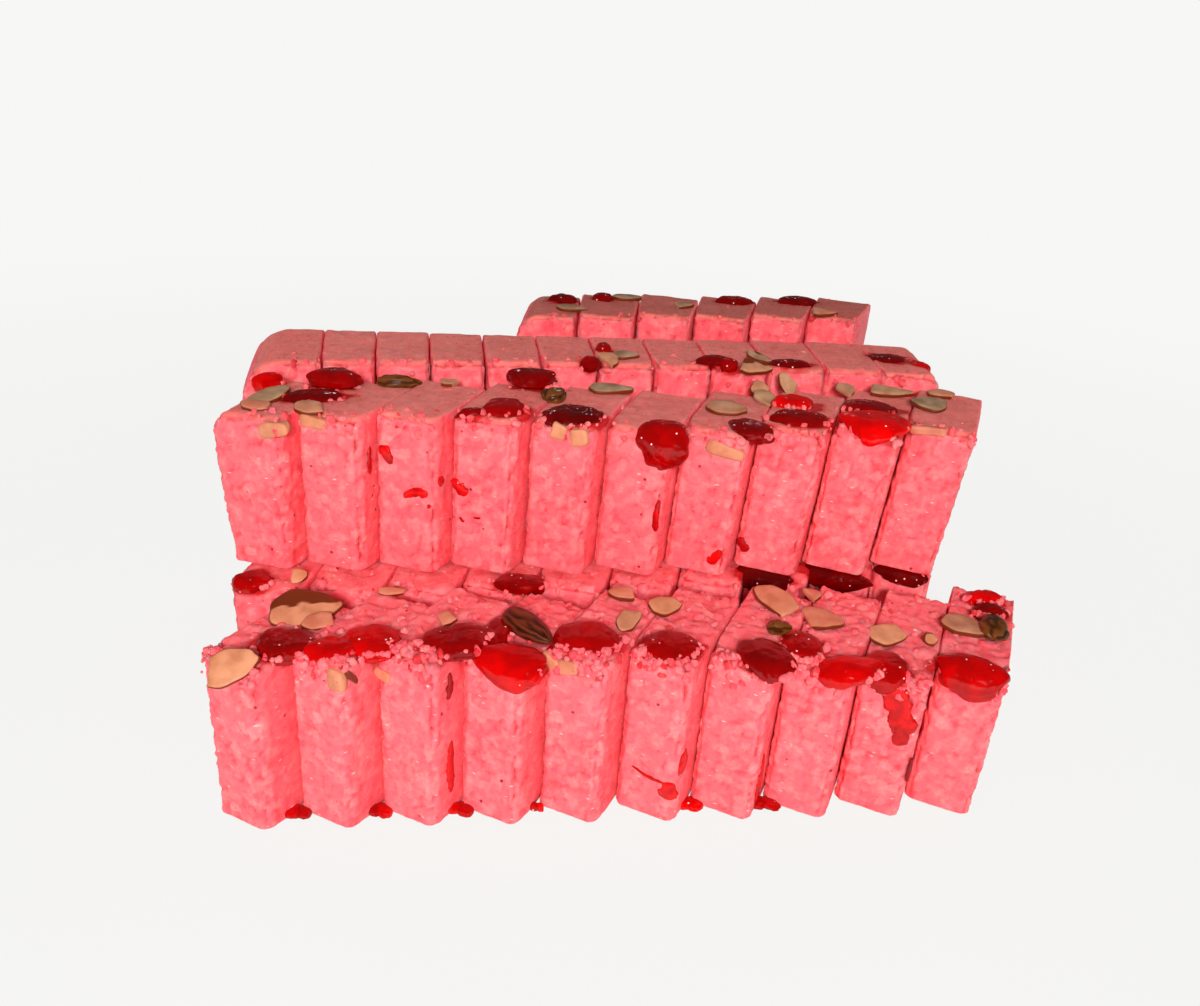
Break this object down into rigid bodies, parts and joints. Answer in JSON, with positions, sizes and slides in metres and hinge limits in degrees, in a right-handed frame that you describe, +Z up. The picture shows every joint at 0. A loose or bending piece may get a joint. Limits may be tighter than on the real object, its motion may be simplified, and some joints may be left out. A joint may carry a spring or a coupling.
{
  "type": "halwa",
  "caption": "Block of pink coconut halwa in two tiers, cut in upright slices, topped with glace cherries, sliced almonds and raisins.",
  "frame": {"origin": "on the surface that the block stands on, under the middle of its bounding box", "axes": "+X along the rows, to the right as seen from the front; +Y from the low front tier to the back; +Z up"},
  "size_m": [0.3072, 0.2458, 0.1425],
  "materials": {
    "halwa": "moist, grainy pink halwa with glossy red glace cherries and sliced almonds fused to its top",
    "halwa_hidden": "moist, grainy pink halwa, marked by the knife and not cut through"
  },
  "bodies": {
    "root": {"lower_front_slice_1": "halwa", "lower_front_slice_2": "halwa", "lower_front_slice_3": "halwa", "lower_front_slice_4": "halwa", "lower_front_slice_5": "halwa", "lower_front_slice_6": "halwa", "lower_front_slice_7": "halwa", "lower_front_slice_8": "halwa", "lower_front_slice_9": "halwa", "lower_front_slice_10": "halwa", "lower_second_slice_1": "halwa", "lower_second_slice_2": "halwa", "lower_second_slice_3": "halwa", "lower_second_slice_4": "halwa", "lower_second_slice_5": "halwa", "lower_second_slice_6": "halwa", "lower_second_slice_7": "halwa", "lower_second_slice_8": "halwa", "lower_second_slice_9": "halwa", "lower_second_slice_10": "halwa", "upper_front_slice_1": "halwa", "upper_front_slice_2": "halwa", "upper_front_slice_3": "halwa", "upper_front_slice_4": "halwa", "upper_front_slice_5": "halwa", "upper_front_slice_6": "halwa", "upper_front_slice_7": "halwa", "upper_front_slice_8": "halwa", "upper_front_slice_9": "halwa", "upper_front_slice_10": "halwa", "upper_middle_slice_1": "halwa", "upper_middle_slice_2": "halwa", "upper_middle_slice_3": "halwa", "upper_middle_slice_4": "halwa", "upper_middle_slice_5": "halwa", "upper_middle_slice_6": "halwa", "upper_middle_slice_7": "halwa", "upper_middle_slice_8": "halwa", "upper_middle_slice_9": "halwa", "upper_middle_slice_10": "halwa", "upper_middle_slice_11": "halwa", "upper_middle_slice_12": "halwa", "upper_rear_slice_1": "halwa", "upper_rear_slice_2": "halwa", "upper_rear_slice_3": "halwa", "upper_rear_slice_4": "halwa", "upper_rear_slice_5": "halwa", "upper_rear_slice_6": "halwa", "lower_third_block": "halwa_hidden", "lower_rear_block": "halwa_hidden"}
  },
  "joints": []
}
